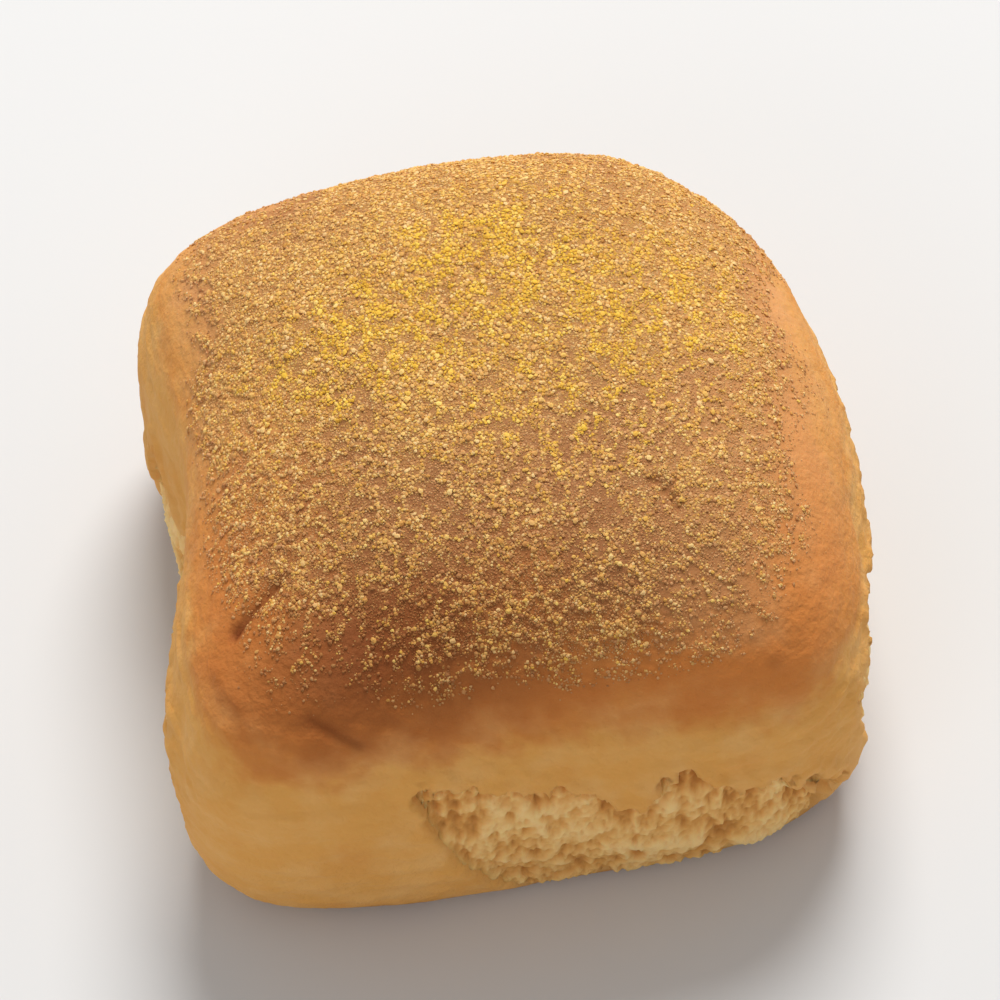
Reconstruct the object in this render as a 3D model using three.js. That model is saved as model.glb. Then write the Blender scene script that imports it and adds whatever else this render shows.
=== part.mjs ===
// A square corn bread roll, pulled from a tray on which it was baked touching its neighbours.
// It is one soft, domed piece of bread: a browned crown dusted with coarse corn meal, four pale
// sides with the ragged patches where the neighbours were torn away, and a flat base.
//
// Millimetres, +Z up. The origin is on the table under the middle of the roll, -Y is the front.
// The surface is a stack of rings, from the top of the crown down the sides and in under the base.
// Each ring has as many points as its own length asks for, and every ring is zipped to the next.

import * as THREE from "three";

// ---- Driving dimensions ----

const WIDTH = 90; // left to right at the widest, before the unevenness below
const DEPTH = 86.5; // front to back at the widest
const HEIGHT = 58;
const WAIST_HEIGHT = 21; // where the roll is widest
const CROWN_FULLNESS = 2.7; // 2 is an elliptical dome, and more is a squarer shoulder
const HEEL_FULLNESS = 2.1; // the same for the rounding between the sides and the base
const BASE_SHARE = 0.83; // the flat base's width, as a share of the widest

// How square each corner is in plan: 2 is round, and more is tighter.
const CORNERS = [
  { angle: 45, squareness: 2.6 }, // back right, where the dough spread freely
  { angle: 135, squareness: 6.5 }, // back left
  { angle: 225, squareness: 5.6 }, // front left, pressed tight
  { angle: 315, squareness: 4.5 }, // front right
];
const ROUND = 2.05; // the squareness of the dome's topmost contours
const ROUND_UP_TO = 0.4; // contours narrower than this share of the widest are that round

// The dough's own unevenness in plan: how many swells go round, how far out, and where they peak.
const SWELLS = [
  { count: 2, out: 0.4, peak: 90 },
  { count: 3, out: 0.6, peak: 225 },
  { count: 5, out: 0.3, peak: 54 },
];
const LEAN = { x: 1.2, y: 0.4 }; // how far the top of the crown stands off the middle of the base
const TILT = 0.045; // the crown rises this much per millimetre towards the right

// Where the neighbours pressed the soft sides in, and where the crown swelled out over them, which
// counts as a negative depth: the middle, reach and depth of each.
const DENTS = [
  { at: [-45, -2, 26], reach: 15, depth: 6.0 },
  { at: [46, 6, 20], reach: 12, depth: 0.9 },
  { at: [3, 34, 52], reach: 22, depth: -4.5 },
];

// Soft lumps all over: each is a wave with a length, a height and a direction.
const LUMPS = [
  { length: 46, height: 0.4, along: [0.9, 0.35, 0.3], shift: 0.4 },
  { length: 33, height: 0.3, along: [-0.45, 0.8, 0.4], shift: 1.9 },
  { length: 24, height: 0.2, along: [0.3, -0.7, 0.65], shift: 3.1 },
  { length: 15, height: 0.1, along: [0.75, 0.6, -0.3], shift: 5.0 },
];

// The patches that the neighbours tore, down to the base. The middle of each is given along its side and
// above the table, with half its width and height, and it rises by the slope along the side. Its torn crumb
// lies "deep" below the skin, and "shift" makes its outline its own.
const TEARS = [
  { side: 270, at: [12, 12], wide: 24, tall: 16, slope: -0.3, deep: 1.6, shift: 0.5 }, // front
  { side: 180, at: [4, 12], wide: 26, tall: 17, slope: 0.12, deep: 1.3, shift: 2.4 }, // left
  { side: 0, at: [-4, 13], wide: 28, tall: 18, slope: -0.1, deep: 1.6, shift: 4.1 }, // right
  { side: 90, at: [3, 13], wide: 30, tall: 19, slope: 0.08, deep: 1.4, shift: 5.3 }, // back
];
const TEAR_SQUARENESS = 2.7; // the squareness of their outline
// How their outline strays: the length of each wave along the side, and how far out it goes.
const WANDER = [
  { length: 33, out: 2.6 },
  { length: 14.5, out: 1.6 },
];
const TEAR_EDGE = 1.3; // width of the step from skin down to crumb, along a tear's top
const SOFT_EDGE = 5; // and at its ends and below
const LIP = 0.55; // the skin curls out this far along a tear's top
const TEETH = { wide: 3.1, long: 1.2 }; // the pulled strands that fray a tear's edge
const STRANDS = { length: 5.5, height: 0.45 }; // the crumb's relief inside a tear

// The skin folds in a little where the crown meets the torn sides.
const FOLD = { height: 36, width: 3.2, depth: 0.55 };

// Short creases in the crust, most of them at the front left corner: two ends, and the depth.
const CREASES = [
  { from: [-34.5, -24.5, 46.5], to: [-28.6, -20.8, 50.2], depth: 1.1 },
  { from: [-26.5, -36.9, 44.2], to: [-21, -39.5, 41.2], depth: 0.3 },
  { from: [19.1, -16.4, 55.9], to: [21.3, -19.9, 54.9], depth: 0.7 },
];
const CREASE_WIDTH = 1.5;

// The corn meal lies on the crown as a coat of grains, and bare crust shows round its edge.
const GRAIN = { wide: 1.5, high: 0.75 }; // spacing and height of a clump of grains
const MEAL = { middle: [1.2, 3], reach: [38, 42], inner: 0.84, outer: 1.08 }; // shares of its reach
const MEAL_LOWEST = { front: 48.5, back: 44, end: 5 }; // it thins out over "end" below these heights

const SIDE_SPACING = 2.5; // the spacing of points on the bare sides
const BASE_SPACING = 6.5; // and under the base
const SEED = 20240611;

// ---- Small tools ----

const clamp = (v, low, high) => Math.min(high, Math.max(low, v));
const mix = (a, b, share) => a + (b - a) * share;
const degrees = (a) => (a * Math.PI) / 180;

function step(from, to, v) {
  const t = clamp((v - from) / (to - from), 0, 1);
  return t * t * (3 - 2 * t);
}

// A repeatable source of numbers from 0 to 1.
function draws(seed) {
  let state = seed >>> 0;
  return () => {
    state = (Math.imul(state, 1664525) + 1013904223) >>> 0;
    return state / 4294967296;
  };
}

// ---- The roll's form ----

// Distance from the middle to the outline in plan, on a contour that is this share of the widest.
function outline(angle, share) {
  let squareness = 0;
  for (const corner of CORNERS) {
    const near = Math.max(0, Math.cos(angle - degrees(corner.angle)));
    squareness += corner.squareness * near * near;
  }
  const n = mix(ROUND, squareness, step(ROUND_UP_TO, 1, share));
  const x = Math.abs(Math.cos(angle)) / (WIDTH / 2);
  const y = Math.abs(Math.sin(angle)) / (DEPTH / 2);
  let radius = (x ** n + y ** n) ** (-1 / n);
  for (const swell of SWELLS) {
    radius += swell.out * share * Math.cos(swell.count * (angle - degrees(swell.peak)));
  }
  return radius;
}

// The point of the smooth form at an angle, for one point of the profile.
function smoothPoint(angle, { share, z }) {
  const radius = share * outline(angle, share);
  const point = new THREE.Vector3(radius * Math.cos(angle), radius * Math.sin(angle), z);
  const rise = step(0.35 * HEIGHT, HEIGHT, z);
  point.z += rise * TILT * point.x;
  point.x += LEAN.x * (z / HEIGHT) ** 2;
  point.y += LEAN.y * (z / HEIGHT) ** 2;
  return point;
}

// The profile from the top of the crown to the rim of the base: share is of the widest.
function profilePoint(t) {
  if (t < 1) {
    const turn = (t * Math.PI) / 2;
    const share = Math.sin(turn) ** (2 / CROWN_FULLNESS);
    const up = Math.cos(turn) ** (2 / CROWN_FULLNESS);
    return { share, z: mix(WAIST_HEIGHT, HEIGHT, up) };
  }
  const turn = ((t - 1) * Math.PI) / 2;
  const out = Math.cos(turn) ** (2 / HEEL_FULLNESS);
  const down = Math.sin(turn) ** (2 / HEEL_FULLNESS);
  return { share: mix(BASE_SHARE, 1, out), z: mix(WAIST_HEIGHT, 0, down) };
}

function profile() {
  const steps = 600;
  const points = [];
  for (let i = 0; i <= steps; i += 1) points.push(profilePoint((2 * i) / steps));
  for (let share = BASE_SHARE - 0.005; share > 0; share -= 0.005) points.push({ share, z: 0 });
  return points;
}

// ---- Relief ----

function lumps(p) {
  let height = 0;
  for (const { length, height: most, along, shift } of LUMPS) {
    const phase = p.x * along[0] + p.y * along[1] + p.z * along[2];
    height += most * Math.sin((2 * Math.PI * phase) / length + shift);
  }
  return height;
}

function dents(p) {
  let depth = 0;
  for (const dent of DENTS) {
    const away = p.distanceTo(new THREE.Vector3(...dent.at)) / dent.reach;
    depth += dent.depth * Math.exp(-away * away);
  }
  return -depth;
}

// Where a point lies on one side: along it, and how squarely it faces that way.
function onSide(p, normal, side) {
  const a = degrees(side);
  return {
    across: -p.x * Math.sin(a) + p.y * Math.cos(a),
    facing: normal.x * Math.cos(a) + normal.y * Math.sin(a),
  };
}

// Torn crumb below the skin, a curled lip round it, and frayed strands along its edge.
function tears(p, normal) {
  let height = 0;
  for (const tear of TEARS) {
    const { across, facing } = onSide(p, normal, tear.side);
    if (facing < 0.4) continue;
    const u = (across - tear.at[0]) / tear.wide;
    const v = (p.z - tear.at[1] - tear.slope * (across - tear.at[0])) / tear.tall;
    const n = TEAR_SQUARENESS;
    const out = (Math.abs(u) ** n + Math.abs(v) ** n) ** (1 / n);
    let inside = (1 - out) * Math.min(tear.wide, tear.tall);
    inside += (TEETH.long / 2) * Math.sin((2 * Math.PI * across) / TEETH.wide + 2 * Math.sin(p.z * 0.7));
    for (const { length, out } of WANDER) {
      inside += out * Math.sin((2 * Math.PI * (across + 0.5 * p.z)) / length + tear.shift);
    }
    const squarely = step(0.4, 0.75, facing);
    const crisp = step(0, 0.7, v);
    const edge = mix(SOFT_EDGE, TEAR_EDGE, crisp);
    const torn = step(-edge / 2, edge / 2, inside) * squarely;
    const lip = crisp * Math.exp(-(((inside + TEAR_EDGE) / 1.6) ** 2)) * squarely;
    const strand =
      Math.sin((2 * Math.PI * (across + 0.5 * p.z)) / STRANDS.length + 3 * Math.sin(p.z * 0.45)) +
      Math.sin((2 * Math.PI * (p.z - 0.3 * across)) / (0.8 * STRANDS.length));
    height += LIP * lip - torn * (tear.deep - STRANDS.height * strand * 0.5);
  }
  return height;
}

function fold(p, normal) {
  const level = FOLD.height + 2.5 * Math.sin(p.x * 0.09 + 1) + 2 * Math.sin(p.y * 0.11);
  const sideways = step(0.5, 0.9, Math.hypot(normal.x, normal.y));
  const uneven = 0.6 + 0.4 * Math.sin(p.x * 0.13 + p.y * 0.17);
  return -FOLD.depth * uneven * sideways * Math.exp(-(((p.z - level) / FOLD.width) ** 2));
}

function creases(p) {
  let depth = 0;
  for (const crease of CREASES) {
    const from = new THREE.Vector3(...crease.from);
    const way = new THREE.Vector3(...crease.to).sub(from);
    const share = clamp(p.clone().sub(from).dot(way) / way.lengthSq(), 0, 1);
    const away = p.distanceTo(from.clone().addScaledVector(way, share)) / CREASE_WIDTH;
    depth = Math.max(depth, crease.depth * Math.exp(-away * away));
  }
  return -depth;
}

// How thickly the meal lies, from 0 on bare crust to 1.
function mealCover(p) {
  const x = (p.x - MEAL.middle[0]) / MEAL.reach[0];
  const y = (p.y - MEAL.middle[1]) / MEAL.reach[1];
  const out = (Math.abs(x) ** 3.2 + Math.abs(y) ** 3.2) ** (1 / 3.2);
  const wander = 0.05 * Math.sin(p.x * 0.31 + 2) + 0.05 * Math.sin(p.y * 0.27 + p.x * 0.12);
  const lowest = mix(MEAL_LOWEST.front, MEAL_LOWEST.back, step(-15, 15, p.y));
  return step(MEAL.outer, MEAL.inner, out + wander) * step(lowest - MEAL_LOWEST.end, lowest, p.z);
}

// ---- Rings ----

// The outward direction at a point of the smooth form, from its two neighbours.
function outward(angle, at, next) {
  const here = smoothPoint(angle, at);
  const round = smoothPoint(angle + 0.01, at).sub(here);
  const down = smoothPoint(angle, next).sub(here);
  return down.cross(round).normalize();
}

// Points spread evenly round one contour, each pushed out by the relief.
function ring(at, next, spacing, turn, draw) {
  const fine = 360;
  const angles = [];
  const lengths = [0];
  for (let i = 0; i <= fine; i += 1) {
    angles.push((2 * Math.PI * i) / fine);
    if (i > 0) {
      const from = smoothPoint(angles[i - 1], at);
      lengths.push(lengths[i - 1] + from.distanceTo(smoothPoint(angles[i], at)));
    }
  }
  const whole = lengths[fine];
  const count = Math.max(6, Math.round(whole / spacing));
  const points = [];
  let i = 0;
  for (let k = 0; k < count; k += 1) {
    const wanted = (whole * (k + turn)) / count;
    while (lengths[i + 1] < wanted) i += 1;
    const share = (wanted - lengths[i]) / (lengths[i + 1] - lengths[i]);
    points.push(reliefPoint(mix(angles[i], angles[i + 1], share), at, next, draw));
  }
  return { points, turn };
}

function reliefPoint(angle, at, next, draw) {
  const p = smoothPoint(angle, at);
  if (at.z === 0) return p;
  const normal = outward(angle, at, next);
  const grain = GRAIN.high * mealCover(p) * draw() ** 1.3;
  const skin = lumps(p) + dents(p) + fold(p, normal) + creases(p) + tears(p, normal);
  return p.addScaledVector(normal, grain + skin * step(0, 7, p.z));
}

// The spacing that a point of the profile asks for: fine under the meal, coarse on bare skin.
function spacingAt({ share, z }) {
  if (z === 0) return mix(BASE_SPACING, SIDE_SPACING, step(BASE_SHARE - 0.25, BASE_SHARE, share));
  return mix(SIDE_SPACING, GRAIN.wide, step(MEAL_LOWEST.back - 5, MEAL_LOWEST.back + 3, z));
}

function rings() {
  const draw = draws(SEED);
  const line = profile();
  const made = [];
  let walked = 0;
  let wanted = GRAIN.wide;
  for (let i = 1; i < line.length - 1; i += 1) {
    const run = (line[i].share - line[i - 1].share) * (WIDTH / 2);
    walked += Math.hypot(run, line[i].z - line[i - 1].z);
    const atRim = line[i].z === 0 && line[i - 1].z > 0;
    if (walked < wanted && !atRim) continue;
    const spacing = spacingAt(line[i]);
    made.push(ring(line[i], line[i + 1], spacing, made.length % 2 ? 0.5 : 0, draw));
    walked = 0;
    wanted = spacing;
  }
  return made;
}

// ---- Faces ----

// Joins two rings by always taking the shorter step round, so that their counts may differ.
function zip(upper, lower, faces) {
  const a = upper.points.length;
  const b = lower.points.length;
  let i = 0;
  let k = 0;
  while (i < a || k < b) {
    const nextUpper = (i + 1 + upper.turn) / a;
    const nextLower = (k + 1 + lower.turn) / b;
    const u = upper.first + (i % a);
    const l = lower.first + (k % b);
    if (k >= b || (i < a && nextUpper <= nextLower)) {
      faces.push(u, l, upper.first + ((i + 1) % a));
      i += 1;
    } else {
      faces.push(u, l, lower.first + ((k + 1) % b));
      k += 1;
    }
  }
}

function cap(ringToClose, centre, faces, isTop) {
  const count = ringToClose.points.length;
  for (let i = 0; i < count; i += 1) {
    const a = ringToClose.first + i;
    const b = ringToClose.first + ((i + 1) % count);
    faces.push(...(isTop ? [centre, a, b] : [centre, b, a]));
  }
}

// Centres the roll over the origin in plan.
function centred(points) {
  const box = new THREE.Box3().setFromPoints(points);
  const middle = box.getCenter(new THREE.Vector3()).setZ(box.min.z);
  return points.map((p) => p.clone().sub(middle));
}

function rollGeometry() {
  const made = rings();
  const points = [];
  for (const one of made) {
    one.first = points.length;
    points.push(...one.points);
  }
  const top = points.push(smoothPoint(0, profilePoint(0))) - 1;
  const bottom = points.push(new THREE.Vector3(0, 0, 0)) - 1;
  const faces = [];
  cap(made[0], top, faces, true);
  for (let i = 1; i < made.length; i += 1) zip(made[i - 1], made[i], faces);
  cap(made[made.length - 1], bottom, faces, false);
  const geometry = new THREE.BufferGeometry().setFromPoints(centred(points));
  geometry.setIndex(faces);
  geometry.computeVertexNormals();
  return geometry;
}

// ---- The part ----

const crustAndMeal = new THREE.MeshStandardMaterial({
  color: "#c8934f",
  roughness: 0.85,
  metalness: 0,
});

const roll = new THREE.Mesh(rollGeometry(), crustAndMeal);
roll.name = "roll";

const part = new THREE.Group();
part.add(roll);

export default part;
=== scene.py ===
"""The looks of a square corn bread roll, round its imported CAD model. Metres, +Z up, -Y is the front."""

import math

import bmesh
import bpy
import numpy as np
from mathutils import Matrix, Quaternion, Vector, kdtree, noise


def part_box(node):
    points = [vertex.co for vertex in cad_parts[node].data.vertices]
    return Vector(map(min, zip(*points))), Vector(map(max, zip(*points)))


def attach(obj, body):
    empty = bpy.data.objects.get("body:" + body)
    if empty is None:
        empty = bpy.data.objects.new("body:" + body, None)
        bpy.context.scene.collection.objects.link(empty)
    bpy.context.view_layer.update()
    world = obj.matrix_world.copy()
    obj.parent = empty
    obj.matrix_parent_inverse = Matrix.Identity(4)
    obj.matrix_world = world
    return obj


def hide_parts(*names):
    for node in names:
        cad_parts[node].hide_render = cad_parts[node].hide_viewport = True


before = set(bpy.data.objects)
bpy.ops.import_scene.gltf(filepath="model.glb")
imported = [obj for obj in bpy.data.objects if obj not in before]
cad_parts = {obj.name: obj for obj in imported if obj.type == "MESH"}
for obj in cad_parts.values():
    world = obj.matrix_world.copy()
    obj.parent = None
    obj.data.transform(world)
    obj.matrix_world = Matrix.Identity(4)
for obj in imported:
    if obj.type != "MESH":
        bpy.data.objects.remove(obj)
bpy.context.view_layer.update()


# ---- Camera ----
# A long lens from a metre away. The roll leans back in the photograph, so in its own frame it is seen from
# well above, and a little from the left.

MM = 0.001
roll_low, roll_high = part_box("roll")
roll_size = roll_high - roll_low
roll_middle = (roll_low + roll_high) / 2

camera_angle, camera_height, camera_turn = math.radians(-1.5), math.radians(57), math.radians(-6.3)
camera_distance = 1.0
roll_share_of_picture = 0.72
camera_way = Vector((
    math.sin(camera_angle) * math.cos(camera_height),
    -math.cos(camera_angle) * math.cos(camera_height),
    math.sin(camera_height),
))
camera = bpy.data.objects.new("camera", bpy.data.cameras.new("camera"))
camera.data.lens = camera.data.sensor_width * camera_distance * roll_share_of_picture / roll_size.x
camera.location = roll_middle + camera_way * camera_distance
camera.rotation_mode = "QUATERNION"
camera.rotation_quaternion = camera_way.to_track_quat("Z", "Y") @ Quaternion((0, 0, 1), camera_turn)
bpy.context.scene.collection.objects.link(camera)
bpy.context.scene.camera = camera
bpy.context.scene.view_settings.view_transform = "Standard"


# ---- Studio floor and light ----
# A pale sweep of painted board and three soft lights: a strong one above and behind, which whitens the far
# end of the crown, a weak one in front, and the room itself.

FLOOR_RADIUS, ROOM_BRIGHTNESS = 4.0, 0.42


def linear(hex_colour):
    """A colour as the shaders want it, from its sRGB hex."""
    parts = [int(hex_colour[i:i + 2], 16) / 255 for i in (1, 3, 5)]
    return [p / 12.92 if p <= 0.04045 else ((p + 0.055) / 1.055) ** 2.4 for p in parts] + [1.0]


def new_material(name):
    material = bpy.data.materials.new(name)
    material.use_nodes = True
    material.node_tree.nodes.clear()
    return material


def add(material, kind, sockets=None, stops=None, **settings):
    """Adds a shader node. Its sockets take numbers, hex colours and other nodes' outputs."""
    nodes, links = material.node_tree.nodes, material.node_tree.links
    node = nodes.new("ShaderNode" + kind)
    for name, value in settings.items():
        setattr(node, name, value)
    for name, value in (sockets or {}).items():
        socket = node.inputs[name]
        if isinstance(value, bpy.types.NodeSocket):
            links.new(value, socket)
        else:
            socket.default_value = linear(value) if isinstance(value, str) else value
    for index, (position, shade) in enumerate(stops or []):
        ramp = node.color_ramp.elements
        stop = ramp[index] if index < 2 else ramp.new(position)
        stop.position = position
        stop.color = linear(shade) if isinstance(shade, str) else (shade, shade, shade, 1.0)
    return node


def finish_piece(name, mesh, material):
    """Puts a finished mesh in the scene, as an object at the origin."""
    piece = bpy.data.objects.new(name, mesh)
    bpy.context.scene.collection.objects.link(piece)
    mesh.materials.append(material)
    return piece


floor_shape = bmesh.new()
bmesh.ops.create_circle(floor_shape, cap_ends=True, segments=96, radius=FLOOR_RADIUS)
floor_mesh = bpy.data.meshes.new("studio_floor")
floor_shape.to_mesh(floor_mesh)
floor_shape.free()

# Flat white paint: it takes the shadow and gives no reflection.
painted_board = new_material("matt white painted board")
board = add(painted_board, "BsdfPrincipled", {"Base Color": "#d6d6d6", "Roughness": 0.9})
add(painted_board, "OutputMaterial", {"Surface": board.outputs["BSDF"]})
floor = finish_piece("studio_floor", floor_mesh, painted_board)

room = bpy.data.worlds.new("studio room")
room.use_nodes = True
room.node_tree.nodes["Background"].inputs["Color"].default_value = linear("#ffffff")
room.node_tree.nodes["Background"].inputs["Strength"].default_value = ROOM_BRIGHTNESS
bpy.context.scene.world = room

SOFT_LIGHTS = [
    {"name": "key", "at": (0.25, 0.75, 1.15), "size": 0.7, "power": 20.0, "colour": "#fffefc"},
    {"name": "fill", "at": (-0.7, -1.0, 0.8), "size": 0.9, "power": 2.6, "colour": "#fffefc"},
]
for soft in SOFT_LIGHTS:
    light = bpy.data.lights.new(soft["name"], "AREA")
    light.shape, light.size, light.energy = "DISK", soft["size"], soft["power"]
    light.color = linear(soft["colour"])[:3]
    lamp = bpy.data.objects.new(soft["name"], light)
    lamp.location = soft["at"]
    lamp.rotation_mode = "QUATERNION"
    lamp.rotation_quaternion = (lamp.location - roll_middle).to_track_quat("Z", "Y")
    bpy.context.scene.collection.objects.link(lamp)


# ---- The roll ----
# One square roll of soft corn dough, proofed and baked side by side with its batch and then pulled away by
# hand. The domed crown browned in the open, the sides stayed pale where they touched and tore where they
# had grown together, and the base baked flat on the tray. The form below is the CAD node's own.

WIDTH, DEPTH, HEIGHT = 90.0, 86.5, 58.0  # millimetres, as all of the roll's own form
WAIST_HEIGHT = 21.0
CROWN_FULLNESS, HEEL_FULLNESS, BASE_SHARE = 2.7, 2.1, 0.83
CORNERS = {45: 2.6, 135: 6.5, 225: 5.6, 315: 4.5}  # degrees round, and how square
ROUND, ROUND_UP_TO = 2.05, 0.4
SWELLS = [(2, 0.4, 90), (3, 0.6, 225), (5, 0.3, 54)]  # how many, how far out, where they peak
LEAN, TILT, TILT_FROM = (1.2, 0.4), 0.045, 0.35
HEART = 29.0  # how high up inside the dough the directions of its points start
HALVINGS = 34  # of the profile, to find each point
FLAT_EDGE = 7.0  # the relief fades out from this height down to the flat base

DENTS = [((-45, -2, 26), 15, 6.0), ((46, 6, 20), 12, 0.9), ((3, 34, 52), 22, -4.5)]  # place, reach, depth
LUMPS = [  # length, height, way along, shift
    (46, 0.4, (0.9, 0.35, 0.3), 0.4),
    (33, 0.3, (-0.45, 0.8, 0.4), 1.9),
    (24, 0.2, (0.3, -0.7, 0.65), 3.1),
    (15, 0.1, (0.75, 0.6, -0.3), 5.0),
]
FOLD_HEIGHT, FOLD_WIDTH, FOLD_DEPTH = 36.0, 3.2, 0.55
CREASE_WIDTH, PLEAT_WIDTH = 0.85, 2.2
CREASES = [  # from, to, depth
    ((-34.5, -24.5, 46.5), (-28.6, -20.8, 50.2), 1.1),
    ((-26.5, -36.9, 44.2), (-21, -39.5, 41.2), 0.5),
    ((19.1, -16.4, 55.9), (21.3, -19.9, 54.9), 0.7),
]
PLEATS = [  # soft folds of the pale sides: from, to, depth
    ((-43, 14, 38), (-44, 5, 31), 0.6),
    ((-42, -25, 37), (-43.5, -31, 29), 0.5),
    ((-30, -41, 33), (-13, -43.5, 31), 0.4),
    ((44, -13, 38), (45.5, -23, 28), 0.7),
    ((43, 17, 37), (45, 25, 29), 0.5),
    ((-12, 43, 37), (8, 44.5, 34), 0.6),
]
BLISTERS = [  # where, and how far they reach
    ((-36.4, -30.6, 43.4), 1.5), ((-35, -32.8, 43.5), 1.1), ((-37, -28, 43.5), 1.0), ((31, -36, 43), 1.2),
    ((-14, -40, 42), 1.0), ((38, -18, 44), 1.1), ((-37.5, 8, 45), 1.2), ((37, 22, 43), 1.0),
]

# Each side's torn patch: its middle across and up, half its width and height, how it slopes, its depth, and
# the shift of the waves in its outline.
TEARS = [
    {"name": "front", "side": 270, "at": (12, 12), "wide": 24, "tall": 16,
     "slope": -0.3, "deep": 1.6, "shift": 0.5},
    {"name": "left", "side": 180, "at": (4, 12), "wide": 26, "tall": 17,
     "slope": 0.12, "deep": 1.3, "shift": 2.4},
    {"name": "right", "side": 0, "at": (-4, 13), "wide": 28, "tall": 18,
     "slope": -0.1, "deep": 1.6, "shift": 4.1},
    {"name": "back", "side": 90, "at": (3, 13), "wide": 30, "tall": 19,
     "slope": 0.08, "deep": 1.4, "shift": 5.3},
]
TEAR_SQUARENESS, TEAR_FACING = 2.7, (0.4, 0.75)  # they end where the skin turns away from their side
WANDER = [(33, 2.6), (14.5, 1.6)]  # the waves of their outline: length, how far out
TOOTH_WIDTH, TOOTH_LENGTH = 3.1, 1.2
RAG_SIZE, RAG_LENGTH = 4.5, 2.0
TEAR_EDGE, SOFT_EDGE = 1.3, 5.0  # how soon the skin ends: above, and at the ends and below
LIP, LIP_WIDTH = 0.55, 1.6  # above, the skin's edge curls out
UNDERCUT, UNDERCUT_IN, UNDERCUT_WIDTH = 0.75, 1.5, 1.1  # and the crumb draws back under it

# The coat of meal: its middle and reach in plan, its lowest edge in front and at the back, and how it ends.
MEAL_MIDDLE, MEAL_REACH, MEAL_SQUARENESS = (1.2, 3), (38.0, 42.0), 3.2
MEAL_LOWEST, MEAL_END = (48.5, 44.0), 5.0
COAT_ENDS, DUST_ENDS, FILM_ENDS = (0.84, 1.08), (0.7, 1.15), (0.7, 1.18)  # shares of that reach


def ease(low, high, v):
    """0 below low, 1 above high, and a smooth rise between them, which falls where low is above high."""
    t = np.clip((v - low) / (high - low), 0, 1)
    return t * t * (3 - 2 * t)


def outline(angle, share):
    """Distance from the middle to the outline in plan, on a contour that is this share of the widest."""
    squareness = sum(s * np.maximum(0, np.cos(angle - math.radians(a))) ** 2 for a, s in CORNERS.items())
    n = ROUND + (squareness - ROUND) * ease(ROUND_UP_TO, 1, share)
    x, y = np.abs(np.cos(angle)) / (WIDTH / 2), np.abs(np.sin(angle)) / (DEPTH / 2)
    radius = (x ** n + y ** n) ** (-1 / n)
    for count, out, peak in SWELLS:
        radius = radius + out * share * np.cos(count * (angle - math.radians(peak)))
    return radius


def profile(t):
    """Share of the widest, and height, at places down the profile.

    The top is at t = 0, the waist at 1, the base's rim at 2 and its middle at 3.
    """
    crown, heel = np.clip(t, 0, 1) * np.pi / 2, np.clip(t - 1, 0, 1) * np.pi / 2
    over = np.sin(crown) ** (2 / CROWN_FULLNESS)
    up = WAIST_HEIGHT + (HEIGHT - WAIST_HEIGHT) * np.clip(np.cos(crown), 0, 1) ** (2 / CROWN_FULLNESS)
    under = BASE_SHARE + (1 - BASE_SHARE) * np.clip(np.cos(heel), 0, 1) ** (2 / HEEL_FULLNESS)
    down = WAIST_HEIGHT * (1 - np.sin(heel) ** (2 / HEEL_FULLNESS))
    share = np.where(t < 1, over, np.where(t < 2, under, BASE_SHARE * (3 - t)))
    return share, np.where(t < 1, up, np.where(t < 2, down, 0))


def smooth_form(ways):
    """Points of the dough's smooth form, in millimetres, along these directions from its heart."""
    angle = np.arctan2(ways[:, 1], ways[:, 0])
    rise = np.arctan2(ways[:, 2], np.hypot(ways[:, 0], ways[:, 1]))
    above, below = np.zeros(len(ways)), np.full(len(ways), 3.0)
    for _ in range(HALVINGS):
        t = (above + below) / 2
        share, z = profile(t)
        too_high = np.arctan2(z - HEART, share * outline(angle, share)) > rise
        above, below = np.where(too_high, t, above), np.where(too_high, below, t)
    share, z = profile((above + below) / 2)
    radius = share * outline(angle, share)
    x, y = radius * np.cos(angle), radius * np.sin(angle)
    z = z + ease(TILT_FROM * HEIGHT, HEIGHT, z) * TILT * x
    lean = (np.clip(z, 0, None) / HEIGHT) ** 2
    return np.column_stack([x + LEAN[0] * lean, y + LEAN[1] * lean, z])


def each(function, points):
    """The values of one of Blender's noise functions at every point."""
    return np.array([function(Vector(p)) for p in points])


def fractal(points, smoothness, finer, octaves):
    """Blender's fractal noise at every point: each octave is this many times finer, and weaker."""
    return each(lambda p: noise.fractal(p, smoothness, finer, octaves), points)


def lumps(p):
    waves = [h * np.sin(2 * np.pi * (p @ np.array(along)) / length + s) for length, h, along, s in LUMPS]
    return sum(waves)


def dents(p):
    away = [(((p - place) ** 2).sum(1) / reach ** 2, depth) for place, reach, depth in DENTS]
    return -sum(depth * np.exp(-gone) for gone, depth in away)


def fold(p, normal):
    """The shallow fold round the sides, which rises and falls and isn't equally deep all round."""
    level = FOLD_HEIGHT + 2.5 * np.sin(p[:, 0] * 0.09 + 1) + 2 * np.sin(p[:, 1] * 0.11)
    sideways = ease(0.5, 0.9, np.hypot(normal[:, 0], normal[:, 1]))
    uneven = 0.6 + 0.4 * np.sin(p[:, 0] * 0.13 + p[:, 1] * 0.17)
    return -FOLD_DEPTH * uneven * sideways * np.exp(-(((p[:, 2] - level) / FOLD_WIDTH) ** 2))


def furrows(p, lines, width):
    """The depth of soft grooves along these lines."""
    depth = np.zeros(len(p))
    for start, end, deepest in lines:
        way = np.subtract(end, start)
        from_start = p - np.array(start)
        share = np.clip(from_start @ way / (way @ way), 0, 1)
        away = np.linalg.norm(from_start - share[:, None] * way, axis=1) / width
        depth = np.maximum(depth, deepest * np.exp(-away * away))
    return depth


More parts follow.
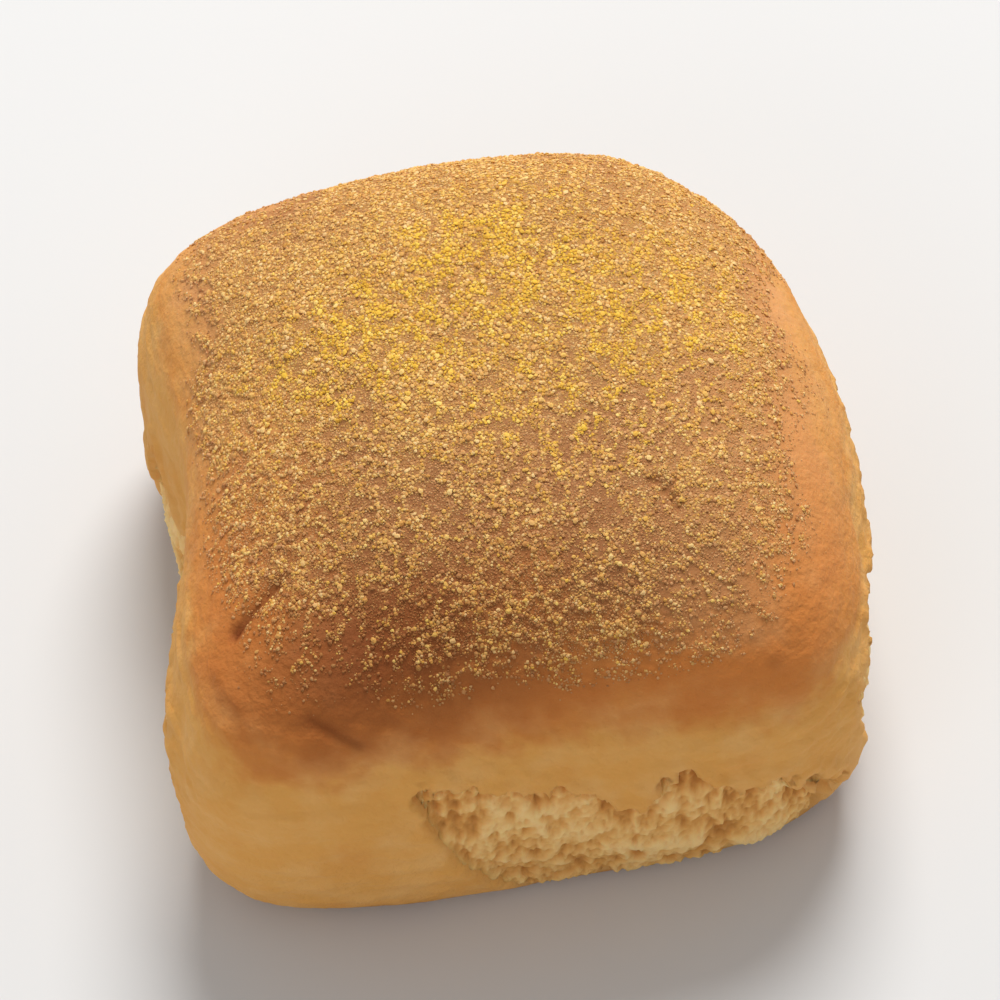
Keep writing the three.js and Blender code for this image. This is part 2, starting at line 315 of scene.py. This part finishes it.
def plain_skin(p, normal):
    """The relief of the dough's own skin, without its tears."""
    soft = lumps(p) + dents(p) + fold(p, normal) - furrows(p, PLEATS, PLEAT_WIDTH)
    return soft - furrows(p, CREASES, CREASE_WIDTH)


def side_of(tear, p, normal):
    """Where points lie along a side, and how squarely they face that way."""
    a = math.radians(tear["side"])
    across = -p[:, 0] * math.sin(a) + p[:, 1] * math.cos(a)
    return across, normal[:, 0] * math.cos(a) + normal[:, 1] * math.sin(a)


def raggedness(p):
    """How far the torn skin's edge strays at each point, in millimetres."""
    return RAG_LENGTH * fractal(p / RAG_SIZE, 0.75, 2.1, 4)


def tears(p, normal, ragged, which):
    """The relief of the torn patches, and how torn and how overhung each point is, from 0 to 1."""
    height, torn_most, overhung = np.zeros((3, len(p)))
    z, n = p[:, 2], TEAR_SQUARENESS
    for tear in which:
        across, facing = side_of(tear, p, normal)
        from_middle = across - tear["at"][0]
        u = from_middle / tear["wide"]
        v = (z - tear["at"][1] - tear["slope"] * from_middle) / tear["tall"]
        squarely, crisp = ease(*TEAR_FACING, facing), ease(0, 0.7, v)
        teeth = 0.5 * TOOTH_LENGTH * np.sin(2 * np.pi * across / TOOTH_WIDTH + 2 * np.sin(z * 0.7))
        inside = (1 - (np.abs(u) ** n + np.abs(v) ** n) ** (1 / n)) * min(tear["wide"], tear["tall"])
        inside += (ragged + teeth) * (0.4 + 0.6 * crisp)
        for length, out in WANDER:
            inside += out * np.sin(2 * np.pi * (across + 0.5 * z) / length + tear["shift"])
        edge = SOFT_EDGE + (TEAR_EDGE - SOFT_EDGE) * crisp
        torn = ease(-edge / 2, edge / 2, inside) * squarely
        under = crisp * np.exp(-(((inside - UNDERCUT_IN) / UNDERCUT_WIDTH) ** 2)) * squarely
        curled = np.exp(-(((inside + TEAR_EDGE) / LIP_WIDTH) ** 2))
        height += LIP * crisp * curled * squarely - torn * tear["deep"]
        height -= UNDERCUT * under
        torn_most, overhung = np.maximum(torn_most, torn), np.maximum(overhung, under)
    return height, torn_most, overhung


def meal_cover(p, inner, outer):
    """How thickly the meal lies: 1 inside the inner share of its reach, and 0 outside the outer one."""
    n = MEAL_SQUARENESS
    x, y = (p[:, 0] - MEAL_MIDDLE[0]) / MEAL_REACH[0], (p[:, 1] - MEAL_MIDDLE[1]) / MEAL_REACH[1]
    out = (np.abs(x) ** n + np.abs(y) ** n) ** (1 / n)
    wander = 0.05 * np.sin(p[:, 0] * 0.31 + 2) + 0.05 * np.sin(p[:, 1] * 0.27 + p[:, 0] * 0.12)
    lowest = MEAL_LOWEST[0] + (MEAL_LOWEST[1] - MEAL_LOWEST[0]) * ease(-15, 15, p[:, 1])
    return ease(outer, inner, out + wander) * ease(-MEAL_END, 0, p[:, 2] - lowest)


def around(p, middle, reach):
    """1 at this place in plan, and less and less away from it."""
    return np.exp(-(((p[:, :2] - np.array(middle)) / np.array(reach)) ** 2).sum(1))


def patches(p, soft_patches):
    """The sum of these patches in plan, each given by how strong it is, its middle and its reach."""
    return sum(strength * around(p, middle, reach) for strength, middle, reach in soft_patches)


def smooth_mesh(name, shape):
    """The mesh of a bmesh, shaded smooth."""
    for face in shape.faces:
        face.smooth = True
    mesh = bpy.data.meshes.new(name)
    shape.to_mesh(mesh)
    shape.free()
    return mesh


def coordinates(mesh):
    found = np.empty(len(mesh.vertices) * 3)
    mesh.vertices.foreach_get("co", found)
    return found.reshape(-1, 3)


def normals(mesh):
    found = np.empty(len(mesh.vertices) * 3)
    mesh.vertex_normals.foreach_get("vector", found)
    return found.reshape(-1, 3)


def place(mesh, points):
    mesh.vertices.foreach_set("co", np.ascontiguousarray(points).ravel())
    mesh.update()


def keep(mesh, name, values):
    """Stores a number at each vertex, for the materials to read."""
    attribute = mesh.attributes.new(name, "FLOAT", "POINT")
    attribute.data.foreach_set("value", values.astype(np.float32))


ROLL_CUTS = 127
roll_shape = bmesh.new()
bmesh.ops.create_cube(roll_shape, size=2)
bmesh.ops.subdivide_edges(roll_shape, edges=roll_shape.edges[:], cuts=ROLL_CUTS, use_grid_fill=True)
roll_mesh = smooth_mesh("roll_bread", roll_shape)

even_ways = np.tan(coordinates(roll_mesh) * np.pi / 4)
dough = smooth_form(even_ways)
place(roll_mesh, dough)
outwards = normals(roll_mesh)
x, y, z = dough.T
tear_relief, torn, _ = tears(dough, outwards, raggedness(dough), TEARS)
crease_depth = furrows(dough, CREASES, CREASE_WIDTH)
blistered = sum(np.exp(-((dough - at) ** 2).sum(1) / reach ** 2) for at, reach in BLISTERS)

# How thick the meal lies: most on the middle and back of the crown, thin at its margins. Where the crown
# swelled under it, the coat broke into short worm-like clumps, wider and closer where it is thick.
THICKEST = [(0.55, (0, 16), (42, 22))]
YELLOWEST = [(1, (-14, 8), (13, 9)), (1, (3, 17), (12, 9)), (1, (20, 7), (13, 9)), (0.5, (9, -7), (14, 8))]
CLUMP_SIZE, CLUMP_SOFTNESS = 2.05, 0.07
cover = meal_cover(dough, *COAT_ENDS) * ease(0.75, 0.3, crease_depth)
patchy = fractal(dough / 11, 0.8, 2.0, 2)
thickness = cover * np.clip(0.45 + patches(dough, THICKEST) + 0.14 * patchy, 0.2, 1)
filled = ease(0.5, 0.85, thickness)  # where the meal fills the gaps between the clumps too
speckle = fractal(dough / 2.2, 0.8, 2.0, 3)
yellow = np.clip(patches(dough, YELLOWEST) * (0.6 + 2.4 * speckle), 0, 1) * cover
worms = np.abs(fractal(dough / CLUMP_SIZE, 0.9, 2.0, 2))
worm_width = 0.04 + 0.32 * thickness
clumped = ease(worm_width + CLUMP_SOFTNESS, worm_width - CLUMP_SOFTNESS, worms) * ease(0, 0.2, cover)

# Finer than the CAD: the pale skin is softly wrinkled, less so near the shoulder, and scuffed where it is
# torn, and the crown is dimpled. Blisters and clumps of meal stand up.
WRINKLE, CALMER, CALM_BETWEEN = 0.3, 0.17, (35, 44)
GRAIN, SCUFF, DIMPLE, BLISTER, CLUMP = 0.14, 0.5, 0.12, 0.35, 0.2
CRUMB_ROOM = 1.2  # under the torn crumb, which is a finer piece of its own
upright = ease(0.45, 0.85, np.hypot(outwards[:, 0], outwards[:, 1]))
wrinkled = (WRINKLE - CALMER * ease(*CALM_BETWEEN, z)) * fractal(dough * (0.12, 0.12, 0.45), 0.7, 2.0, 3)
grained = GRAIN * fractal(dough / 2.6, 0.6, 2.0, 3)
scuffed = SCUFF * (fractal(dough * (1.1, 1.1, 0.4), 0.7, 2.0, 3) * torn)
dimpled = (1 - upright) * DIMPLE * fractal(dough / 3.5, 0.9, 2.0, 2)
fine = upright * (wrinkled + grained + scuffed) + dimpled
fine += BLISTER * blistered + CLUMP * clumped

relief = plain_skin(dough, outwards) + tear_relief + fine - CRUMB_ROOM * ease(0.4, 0.9, torn)
relief = relief * ease(0, FLAT_EDGE, z)
surface = dough + outwards * relief[:, None]
surface[:, 2] = np.maximum(surface[:, 2], 0)
low, high = surface.min(0), surface.max(0)
off_centre = np.array(((low[0] + high[0]) / 2, (low[1] + high[1]) / 2, low[2]))
place(roll_mesh, (surface - off_centre) * MM)

# Where the oven browned it: all of the crown, fading down its shoulder to where the sides touched, which
# isn't quite level. It is darkest on the front of the crown, and most orange along the front shoulder.
BROWN_EDGE = 41.5
EDGE_SWINGS = [(1.5, 180, 4), (-3.0, 307, 8), (-2.0, 231, 8)]  # how far up, degrees round, how narrow
HOTTEST = [(0.66, (-18, -33), (20, 11)), (0.38, (-2, -29), (31, 12)), (0.24, (-25, -13), (14, 12))]
FRONT = 262  # degrees round
angle_round = np.arctan2(y, x)
brown_noise = fractal(dough * 0.07, 0.8, 2.0, 4)
mottled = fractal(dough / 3, 0.7, 2.0, 3)
edge = BROWN_EDGE
for up, at, narrow in EDGE_SWINGS:
    edge = edge + up * np.maximum(0, np.cos(angle_round - math.radians(at))) ** narrow
above_edge = z - edge + 3.0 * brown_noise + 1.8 * mottled
front = 0.1 + 0.9 * ease(-0.3, 0.8, np.cos(angle_round - math.radians(FRONT)))
scorched = ease(-5, 8, above_edge) * np.clip(patches(dough, HOTTEST), 0, 1)
# Paler coated crust on the right, where the meal thins; on the back left the paler colour is painted light.
thin_right, painted_light_back_left = 1 - 0.5 * ease(10, 36, x), 1 - 0.55 * ease(-20, -36, x) * ease(-18, 0, y)
dust = 0.6 * clumped * thickness + 0.2 * meal_cover(dough, *DUST_ENDS) + 0.4 * filled * (1 - clumped)
skin_layers = {
    "browned": ease(-5.5, 7.5, above_edge) * (1 - 0.9 * torn),
    "coated": cover * thin_right * painted_light_back_left,
    "shoulder": ease(-5.5, 4, above_edge) * ease(15, 6, above_edge) * front * (1 - torn),
    "scorched": scorched,
    # Painted shade down the creases of the crust, and darker browning on its blisters.
    "crease": np.clip(crease_depth + 0.25 * blistered, 0, 1),
    "torn": torn,
    "base": 0.85 * ease(4.6, 0.3, z + 2 * brown_noise),
    "dusted": dust * (1 - 0.8 * scorched),
}
for name, values in skin_layers.items():
    keep(roll_mesh, name, values)

# Soft baked bread: matt, a little translucent, and browned by degrees from golden cream to chestnut. To the
# eye, a thin leathery skin, mottled paler on the sides and dusted with fine meal on the crown.
baked_bread = new_material("baked corn bread crust")
place_on_roll = add(baked_bread, "TexCoord").outputs["Object"]
layer = {name: add(baked_bread, "Attribute", attribute_name=name).outputs["Fac"] for name in skin_layers}
blotches = add(baked_bread, "TexNoise", {"Vector": place_on_roll, "Scale": 1 / (8 * MM), "Detail": 5.0})
blotchy = add(baked_bread, "Math", {0: blotches.outputs["Fac"], 1: 0.5, 2: -0.25}, operation="MULTIPLY_ADD")
baked = add(baked_bread, "Math", {0: blotchy.outputs[0], 1: layer["browned"]}, operation="ADD")
crust_shades = [(0.0, "#e2a454"), (0.35, "#da9347"), (0.7, "#dc9d56"), (1.0, "#da9c62")]
colour = add(baked_bread, "ValToRGB", {"Fac": baked.outputs[0]}, stops=crust_shades).outputs["Color"]
# Each of these lies over the last: how much, and its colour.
for factor, over in [
    (layer["coated"], "#96603a"), (layer["shoulder"], "#d2803a"), (layer["scorched"], "#82431b"),
    # The crease layer's dark colour is painted shade in the creases and browning on the blisters.
    (layer["crease"], "#783811"), (layer["torn"], "#dca65c"), (layer["base"], "#b5773a"),
]:
    mixed = add(baked_bread, "Mix", {"Factor": factor, "A": colour, "B": over}, data_type="RGBA")
    colour = mixed.outputs["Result"]
# A faint bloom of flour where the skin stayed pale, and over it the finest dust of the meal.
flour = add(baked_bread, "TexNoise", {"Vector": place_on_roll, "Scale": 1 / (6 * MM), "Detail": 7.0})
bloom_shades = [(0.42, 0.0), (0.7, 0.3)]
bloom = add(baked_bread, "ValToRGB", {"Fac": flour.outputs["Fac"]}, stops=bloom_shades)
pale_skin = add(baked_bread, "Math", {0: 1.0, 1: layer["browned"]}, operation="SUBTRACT")
bloom_here = add(
    baked_bread, "Math", {0: bloom.outputs["Color"], 1: pale_skin.outputs[0]},
    operation="MULTIPLY", use_clamp=True,
)
bloomed = add(
    baked_bread, "Mix", {"Factor": bloom_here.outputs[0], "A": colour, "B": "#eec486"}, data_type="RGBA",
)
dust_grain = add(baked_bread, "TexNoise", {"Vector": place_on_roll, "Scale": 1 / (0.5 * MM), "Detail": 3.0})
dust_spread = add(
    baked_bread, "Math", {0: dust_grain.outputs["Fac"], 1: 1.6, 2: -0.2}, operation="MULTIPLY_ADD",
)
dust_over = add(
    baked_bread, "Math", {0: dust_spread.outputs[0], 1: layer["dusted"]},
    operation="MULTIPLY", use_clamp=True,
)
dusted = add(
    baked_bread, "Mix", {"Factor": dust_over.outputs[0], "A": bloomed.outputs["Result"], "B": "#d2a25c"},
    data_type="RGBA",
)
leather = add(baked_bread, "TexNoise", {"Vector": place_on_roll, "Scale": 1 / (0.9 * MM), "Detail": 6.0})
bump = add(baked_bread, "Bump", {"Height": leather.outputs["Fac"], "Distance": 0.45 * MM, "Strength": 0.7})
bread = add(
    baked_bread, "BsdfPrincipled",
    {"Base Color": dusted.outputs["Result"], "Roughness": 0.76, "Specular IOR Level": 0.22,
     "Normal": bump.outputs["Normal"], "Subsurface Weight": 0.12, "Subsurface Scale": 1.2 * MM,
     "Subsurface Radius": (1.0, 0.5, 0.25)},
)
add(baked_bread, "OutputMaterial", {"Surface": bread.outputs["BSDF"]})

roll = finish_piece("roll_bread", roll_mesh, baked_bread)
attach(roll, "root")
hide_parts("roll")


# ---- The torn crumb ----
# The soft inside of the same bread, which shows where the skin was pulled away. Each patch lies in its
# hollow of the roll, under the ragged edge of the skin, and is closed behind it.

CRUMB_SPACING, CRUMB_MARGIN, CRUMB_BACK = 0.36, 4.0, 5.0  # millimetres; the back is this far in
CRUMB_TUCK = 2.4  # how far the crumb dives under the skin round it
noise.seed_set(7)  # the pores stray by Blender's vector noise, which is otherwise new at each run


def pores(size, widest):
    """A function for the depth of uneven gas pores about this size: 0 between them, 1 in their middles."""
    def depth(p):
        strayed = p / size + 0.35 * noise.noise_vector(p / (1.3 * size))
        away, middles = noise.voronoi(strayed)
        radius = widest * (0.1 + 0.9 * noise.cell(middles[0] * 7.3) ** 2)
        return max(0.0, 1 - (away[0] / radius) ** 2)
    return depth


def crumb_relief(p):
    """The height of the crumb's strands, fibres, shreds, swellings and pores, in millimetres."""
    pulled = fractal(p * (0.5, 0.5, 0.28), 0.6, 2.1, 5)
    fibres = fractal(p * (1.5, 1.5, 0.45), 0.7, 2.0, 3)
    swollen = fractal(p * (0.13, 0.13, 0.16), 0.7, 2.2, 3)
    shreds = 1 - 2.4 * np.abs(fractal(p * (0.42, 0.42, 0.17), 0.7, 2.2, 3))
    large, small = each(pores(2.2, 0.55), p), each(pores(1.0, 0.6), p)
    return 0.4 * pulled + 0.25 * fibres + 0.42 * shreds + 0.7 * swollen - 0.35 * large - 0.25 * small


def crumb_sheet(tear):
    """A grid over a torn patch and its margin, and its vertices' directions from the dough's heart."""
    half_width = tear["wide"] + CRUMB_MARGIN
    highest = tear["at"][1] + tear["tall"] + CRUMB_MARGIN + abs(tear["slope"]) * tear["wide"] / 2
    sheet = bmesh.new()
    columns, rows = round(2 * half_width / CRUMB_SPACING), round(highest / CRUMB_SPACING)
    bmesh.ops.create_grid(sheet, x_segments=columns, y_segments=rows, size=1)
    mesh = smooth_mesh("torn_crumb_" + tear["name"], sheet)
    grid = coordinates(mesh)
    across, up = tear["at"][0] + grid[:, 0] * half_width, highest * (grid[:, 1] + 1) / 2
    outmost = (DEPTH if tear["side"] in (90, 270) else WIDTH) / 2
    sine, cosine = math.sin(math.radians(tear["side"])), math.cos(math.radians(tear["side"]))
    ways = [outmost * cosine - across * sine, outmost * sine + across * cosine, up - HEART]
    return mesh, np.column_stack(ways)


def close_behind(mesh, inward):
    """Gives a sheet sides and a back, this far in, so that it is a closed piece."""
    shape = bmesh.new()
    shape.from_mesh(mesh)
    rim = [e for e in shape.edges if e.is_boundary]
    inner = bmesh.ops.extrude_edge_only(shape, edges=rim)["geom"]
    corners = [v for v in inner if isinstance(v, bmesh.types.BMVert)]
    bmesh.ops.translate(shape, vec=inward, verts=corners)
    open_rim = [e for e in inner if isinstance(e, bmesh.types.BMEdge) and e.is_boundary]
    back = bmesh.ops.contextual_create(shape, geom=open_rim)["faces"]
    bmesh.ops.triangulate(shape, faces=back)
    bmesh.ops.recalc_face_normals(shape, faces=shape.faces[:])
    shape.to_mesh(mesh)
    shape.free()


# Torn crumb: matt, moist and translucent. To the eye, pale cream, with painted light and shade: paler on
# the pulled strands, deeper gold down in the pores and under the skin's lip, and the skin's own colour
# where the crumb thins out to it.
soft_crumb = new_material("torn corn bread crumb")
crumb_place = add(soft_crumb, "TexCoord").outputs["Object"]
# Painted light and shade: the crumb is paler the higher it stands, and darker in its pores and under the
# lip.
crumb_painted_shade = add(soft_crumb, "Attribute", attribute_name="crumb").outputs["Fac"]
crumb_shaded_to_lit = [(0.0, "#bd7e3c"), (0.35, "#dc9f55"), (0.7, "#edb970"), (1.0, "#f8cf8c")]
crumb_colour = add(soft_crumb, "ValToRGB", {"Fac": crumb_painted_shade}, stops=crumb_shaded_to_lit).outputs["Color"]
thin = add(soft_crumb, "Attribute", attribute_name="thin").outputs["Fac"]
to_skin = add(soft_crumb, "Mix", {"Factor": thin, "A": crumb_colour, "B": "#dca65c"}, data_type="RGBA")
crumb_grain = add(soft_crumb, "TexNoise", {"Vector": crumb_place, "Scale": 1 / (0.5 * MM), "Detail": 4.0})
crumb_bump = add(
    soft_crumb, "Bump", {"Height": crumb_grain.outputs["Fac"], "Distance": 0.3 * MM, "Strength": 0.7},
)
crumb = add(
    soft_crumb, "BsdfPrincipled",
    {"Base Color": to_skin.outputs["Result"], "Roughness": 0.85, "Specular IOR Level": 0.2,
     "Normal": crumb_bump.outputs["Normal"], "Subsurface Weight": 0.3, "Subsurface Scale": 2 * MM,
     "Subsurface Radius": (1.0, 0.6, 0.3)},
)
add(soft_crumb, "OutputMaterial", {"Surface": crumb.outputs["BSDF"]})

for tear in TEARS:
    crumb_mesh, crumb_ways = crumb_sheet(tear)
    crumb_dough = smooth_form(crumb_ways)
    place(crumb_mesh, crumb_dough)
    crumb_out = normals(crumb_mesh)
    hollow, crumb_torn, overhung = tears(crumb_dough, crumb_out, raggedness(crumb_dough), [tear])
    crumb_torn *= ease(0.5, 3.5, crumb_dough[:, 2] + 1.5 * raggedness(crumb_dough / 1.3))
    crumb_height = crumb_relief(crumb_dough)
    lift = crumb_torn * (0.8 * crumb_height + 0.1) - CRUMB_TUCK * ease(0.5, 0, crumb_torn)
    skin_height = (plain_skin(crumb_dough, crumb_out) + hollow) * ease(0, FLAT_EDGE, crumb_dough[:, 2])
    rise = skin_height + lift
    place(crumb_mesh, (crumb_dough + crumb_out * rise[:, None] - off_centre) * MM)
    # Painted shade: the crumb's colour darkens the lower it lies, and darker still under the skin's lip.
    keep(crumb_mesh, "crumb", ease(-1.1, 0.9, crumb_height - 0.4 * overhung))
    keep(crumb_mesh, "thin", ease(0.85, 0.35, crumb_torn))
    side = math.radians(tear["side"])
    close_behind(crumb_mesh, Vector((-math.cos(side), -math.sin(side), 0)) * CRUMB_BACK * MM)

    crumb_piece = finish_piece(crumb_mesh.name, crumb_mesh, soft_crumb)
    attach(crumb_piece, "root")


# ---- The corn meal ----
# Coarse dry meal, milled from yellow corn into angular grains of 0.15 to 0.8 mm. The wet dough was pressed
# into it before proofing, so the coat cracked into clumps as the crown swelled, and much of it toasted.

SUNK = 0.3  # share of a grain's height that is pressed into the crust
SPARE_SPOTS = 2.5  # how many are drawn for each one kept, since many fall too close together
SHAPES_OF_A_KIND = 6
roll_normals = normals(roll_mesh)


def spots(count, gap, where, seed):
    """Random places on the crown, at least a gap apart, with their outward directions, in metres."""
    draw = np.random.default_rng(seed)
    corners = np.empty(len(roll_mesh.polygons) * 4, int)
    roll_mesh.polygons.foreach_get("vertices", corners)
    corners = corners.reshape(-1, 4)
    area = np.empty(len(corners))
    roll_mesh.polygons.foreach_get("area", area)
    weight = area * where[corners].mean(1)
    chosen = draw.choice(len(corners), size=int(count * SPARE_SPOTS), p=weight / weight.sum())
    u, v = draw.random((2, len(chosen), 1))
    a, b, c, d = [corners[chosen, i] for i in range(4)]
    here = coordinates(roll_mesh)
    at = (here[a] * (1 - u) + here[b] * u) * (1 - v) + (here[d] * (1 - u) + here[c] * u) * v
    tree = kdtree.KDTree(len(at))
    for i, p in enumerate(at):
        tree.insert(p, i)
    tree.balance()
    free, kept = np.ones(len(at), bool), []
    for i, p in enumerate(at):
        if free[i]:
            kept.append(i)
            for _, k, _ in tree.find_range(p, gap):
                free[k] = False
    kept = kept[:count]
    return at[kept], roll_normals[a[kept]], a[kept], draw


def nugget(faces_wanted, seed):
    """One angular grain about 1 across, as vertices and triangles: of 20 faces, or 8 for a fine one."""
    shape = bmesh.new()
    if faces_wanted == 20:
        bmesh.ops.create_icosphere(shape, subdivisions=1, radius=0.5)
    else:
        bmesh.ops.create_uvsphere(shape, u_segments=4, v_segments=2, radius=0.55)
    draw = np.random.default_rng(seed)
    for vertex in shape.verts:
        vertex.co *= 0.78 + 0.4 * draw.random()
    points = np.array([v.co for v in shape.verts])
    faces = np.array([[v.index for v in f.verts] for f in shape.faces])
    shape.free()
    return points, faces


def grains(name, count, size, gap, where, faces_wanted, raw, seed):
    """One kind of grain, scattered and joined in one mesh. Sizes are in metres."""
    at, out, nearest, draw = spots(count, gap, where, seed)
    shapes = [nugget(faces_wanted, seed + i) for i in range(SHAPES_OF_A_KIND)]
    points, faces = np.array([s[0] for s in shapes]), shapes[0][1]
    number, vertices_each = len(at), points.shape[1]
    which = draw.integers(0, len(shapes), number)
    along = np.cross(out, draw.normal(size=(number, 3)))
    along /= np.linalg.norm(along, axis=1)[:, None]
    aside = np.cross(out, along)
    width = size[0] + (size[1] - size[0]) * draw.random(number) ** 1.5
    long = width * (0.9 + 0.5 * draw.random(number))
    flat = width * (0.5 + 0.3 * draw.random(number))
    local = points[which] * np.column_stack([long, width, flat])[:, None, :]
    centre = at + out * (flat * (0.5 - SUNK))[:, None]
    world = centre[:, None, :] + np.einsum("gvi,gij->gvj", local, np.stack([along, aside, out], 1))
    corners = (faces[None] + (np.arange(number) * vertices_each)[:, None, None]).reshape(-1, 3)
    mesh = bpy.data.meshes.new(name)
    mesh.from_pydata(world.reshape(-1, 3).tolist(), [], corners.tolist())
    tone_of_each = draw.random(number)
    rawness = yellow[nearest] * (0.75 + 0.5 * draw.random(number)) + 0.2 * draw.normal(size=number) + raw
    husk = (1 - clumped[nearest]) * (1 - 0.75 * filled[nearest]) * (0.7 + 0.5 * draw.random(number))
    husk_tone = (0.3 + 0.7 * draw.random(number)) * (1 - scorched[nearest])
    for layer_name, values in [
        ("tone", tone_of_each), ("golden", np.clip(rawness, 0, 1)), ("toast", scorched[nearest]),
        ("bran", husk), ("bran_tone", husk_tone),
    ]:
        keep(mesh, layer_name, np.repeat(values, vertices_each))
    return mesh


# Dry corn meal, milled: matt, opaque to slightly waxy angular grains. To the eye, a sparkle of cream, egg
# yellow and toasted amber, with thin brown flakes of bran between the clumps.
corn_meal = new_material("dry yellow corn meal")
tone = add(corn_meal, "Attribute", attribute_name="tone").outputs["Fac"]
toasted_shades = [(0.0, "#c38a4b"), (0.3, "#d6a15b"), (0.7, "#e2b46e"), (1.0, "#edc98e")]
toasted_colour = add(corn_meal, "ValToRGB", {"Fac": tone}, stops=toasted_shades).outputs["Color"]
golden_shades = [(0.0, "#cf9c36"), (0.3, "#e0b03c"), (0.7, "#eabd46"), (1.0, "#f2d070")]
golden_colour = add(corn_meal, "ValToRGB", {"Fac": tone}, stops=golden_shades).outputs["Color"]
bran_tone = add(corn_meal, "Attribute", attribute_name="bran_tone").outputs["Fac"]
bran_shades = [(0.0, "#91562c"), (0.3, "#ae7747"), (1.0, "#d8a570")]
bran_colour = add(corn_meal, "ValToRGB", {"Fac": bran_tone}, stops=bran_shades).outputs["Color"]
toast = add(corn_meal, "Attribute", attribute_name="toast").outputs["Fac"]
toast_most = add(corn_meal, "Math", {0: toast, 1: 0.5}, operation="MULTIPLY").outputs[0]
golden = add(corn_meal, "Attribute", attribute_name="golden").outputs["Fac"]
bran = add(corn_meal, "Attribute", attribute_name="bran").outputs["Fac"]
colour = toasted_colour
# Each of these lies over the last: how much, and its colour.
for factor, over in [(toast_most, "#ad7139"), (golden, golden_colour), (bran, bran_colour)]:
    mixed = add(corn_meal, "Mix", {"Factor": factor, "A": colour, "B": over}, data_type="RGBA")
    colour = mixed.outputs["Result"]
meal = add(
    corn_meal, "BsdfPrincipled",
    {"Base Color": colour, "Roughness": 0.8, "Specular IOR Level": 0.2,
     "Subsurface Weight": 0.1, "Subsurface Scale": 0.4 * MM},
)
add(corn_meal, "OutputMaterial", {"Surface": meal.outputs["BSDF"]})

film = meal_cover(dough, *FILM_ENDS)
gaps = (1 - clumped) * ease(0.9, 1, cover)
KINDS = [  # name, how many, smallest and largest, gap, where, faces, how much yellower, seed
    ("meal_coarse", 2200, (0.45, 0.78), 0.8, clumped * thickness ** 2, 20, 0.1, 11),
    ("meal_golden", 9500, (0.3, 0.52), 0.36, clumped * (0.15 + yellow), 20, 0.25, 12),
    ("meal_toasted", 9500, (0.3, 0.52), 0.36, clumped * (1 - 0.6 * yellow) + 0.03 * cover, 20, 0.0, 13),
    ("meal_fine", 24000, (0.2, 0.34), 0.22, clumped + 0.08 * cover, 8, 0.05, 14),
    ("meal_flour", 24000, (0.14, 0.24), 0.15, clumped + 0.2 * film, 8, 0.05, 15),
    ("meal_bran", 21000, (0.2, 0.36), 0.24, gaps * (0.15 + thickness), 8, 0.0, 16),
]
for name, count, size, gap, where, faces_wanted, raw, seed in KINDS:
    size_in_metres = (size[0] * MM, size[1] * MM)
    meal_mesh = grains(name, count, size_in_metres, gap * MM, where, faces_wanted, raw, seed)
    meal_piece = finish_piece(name, meal_mesh, corn_meal)
    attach(meal_piece, "root")
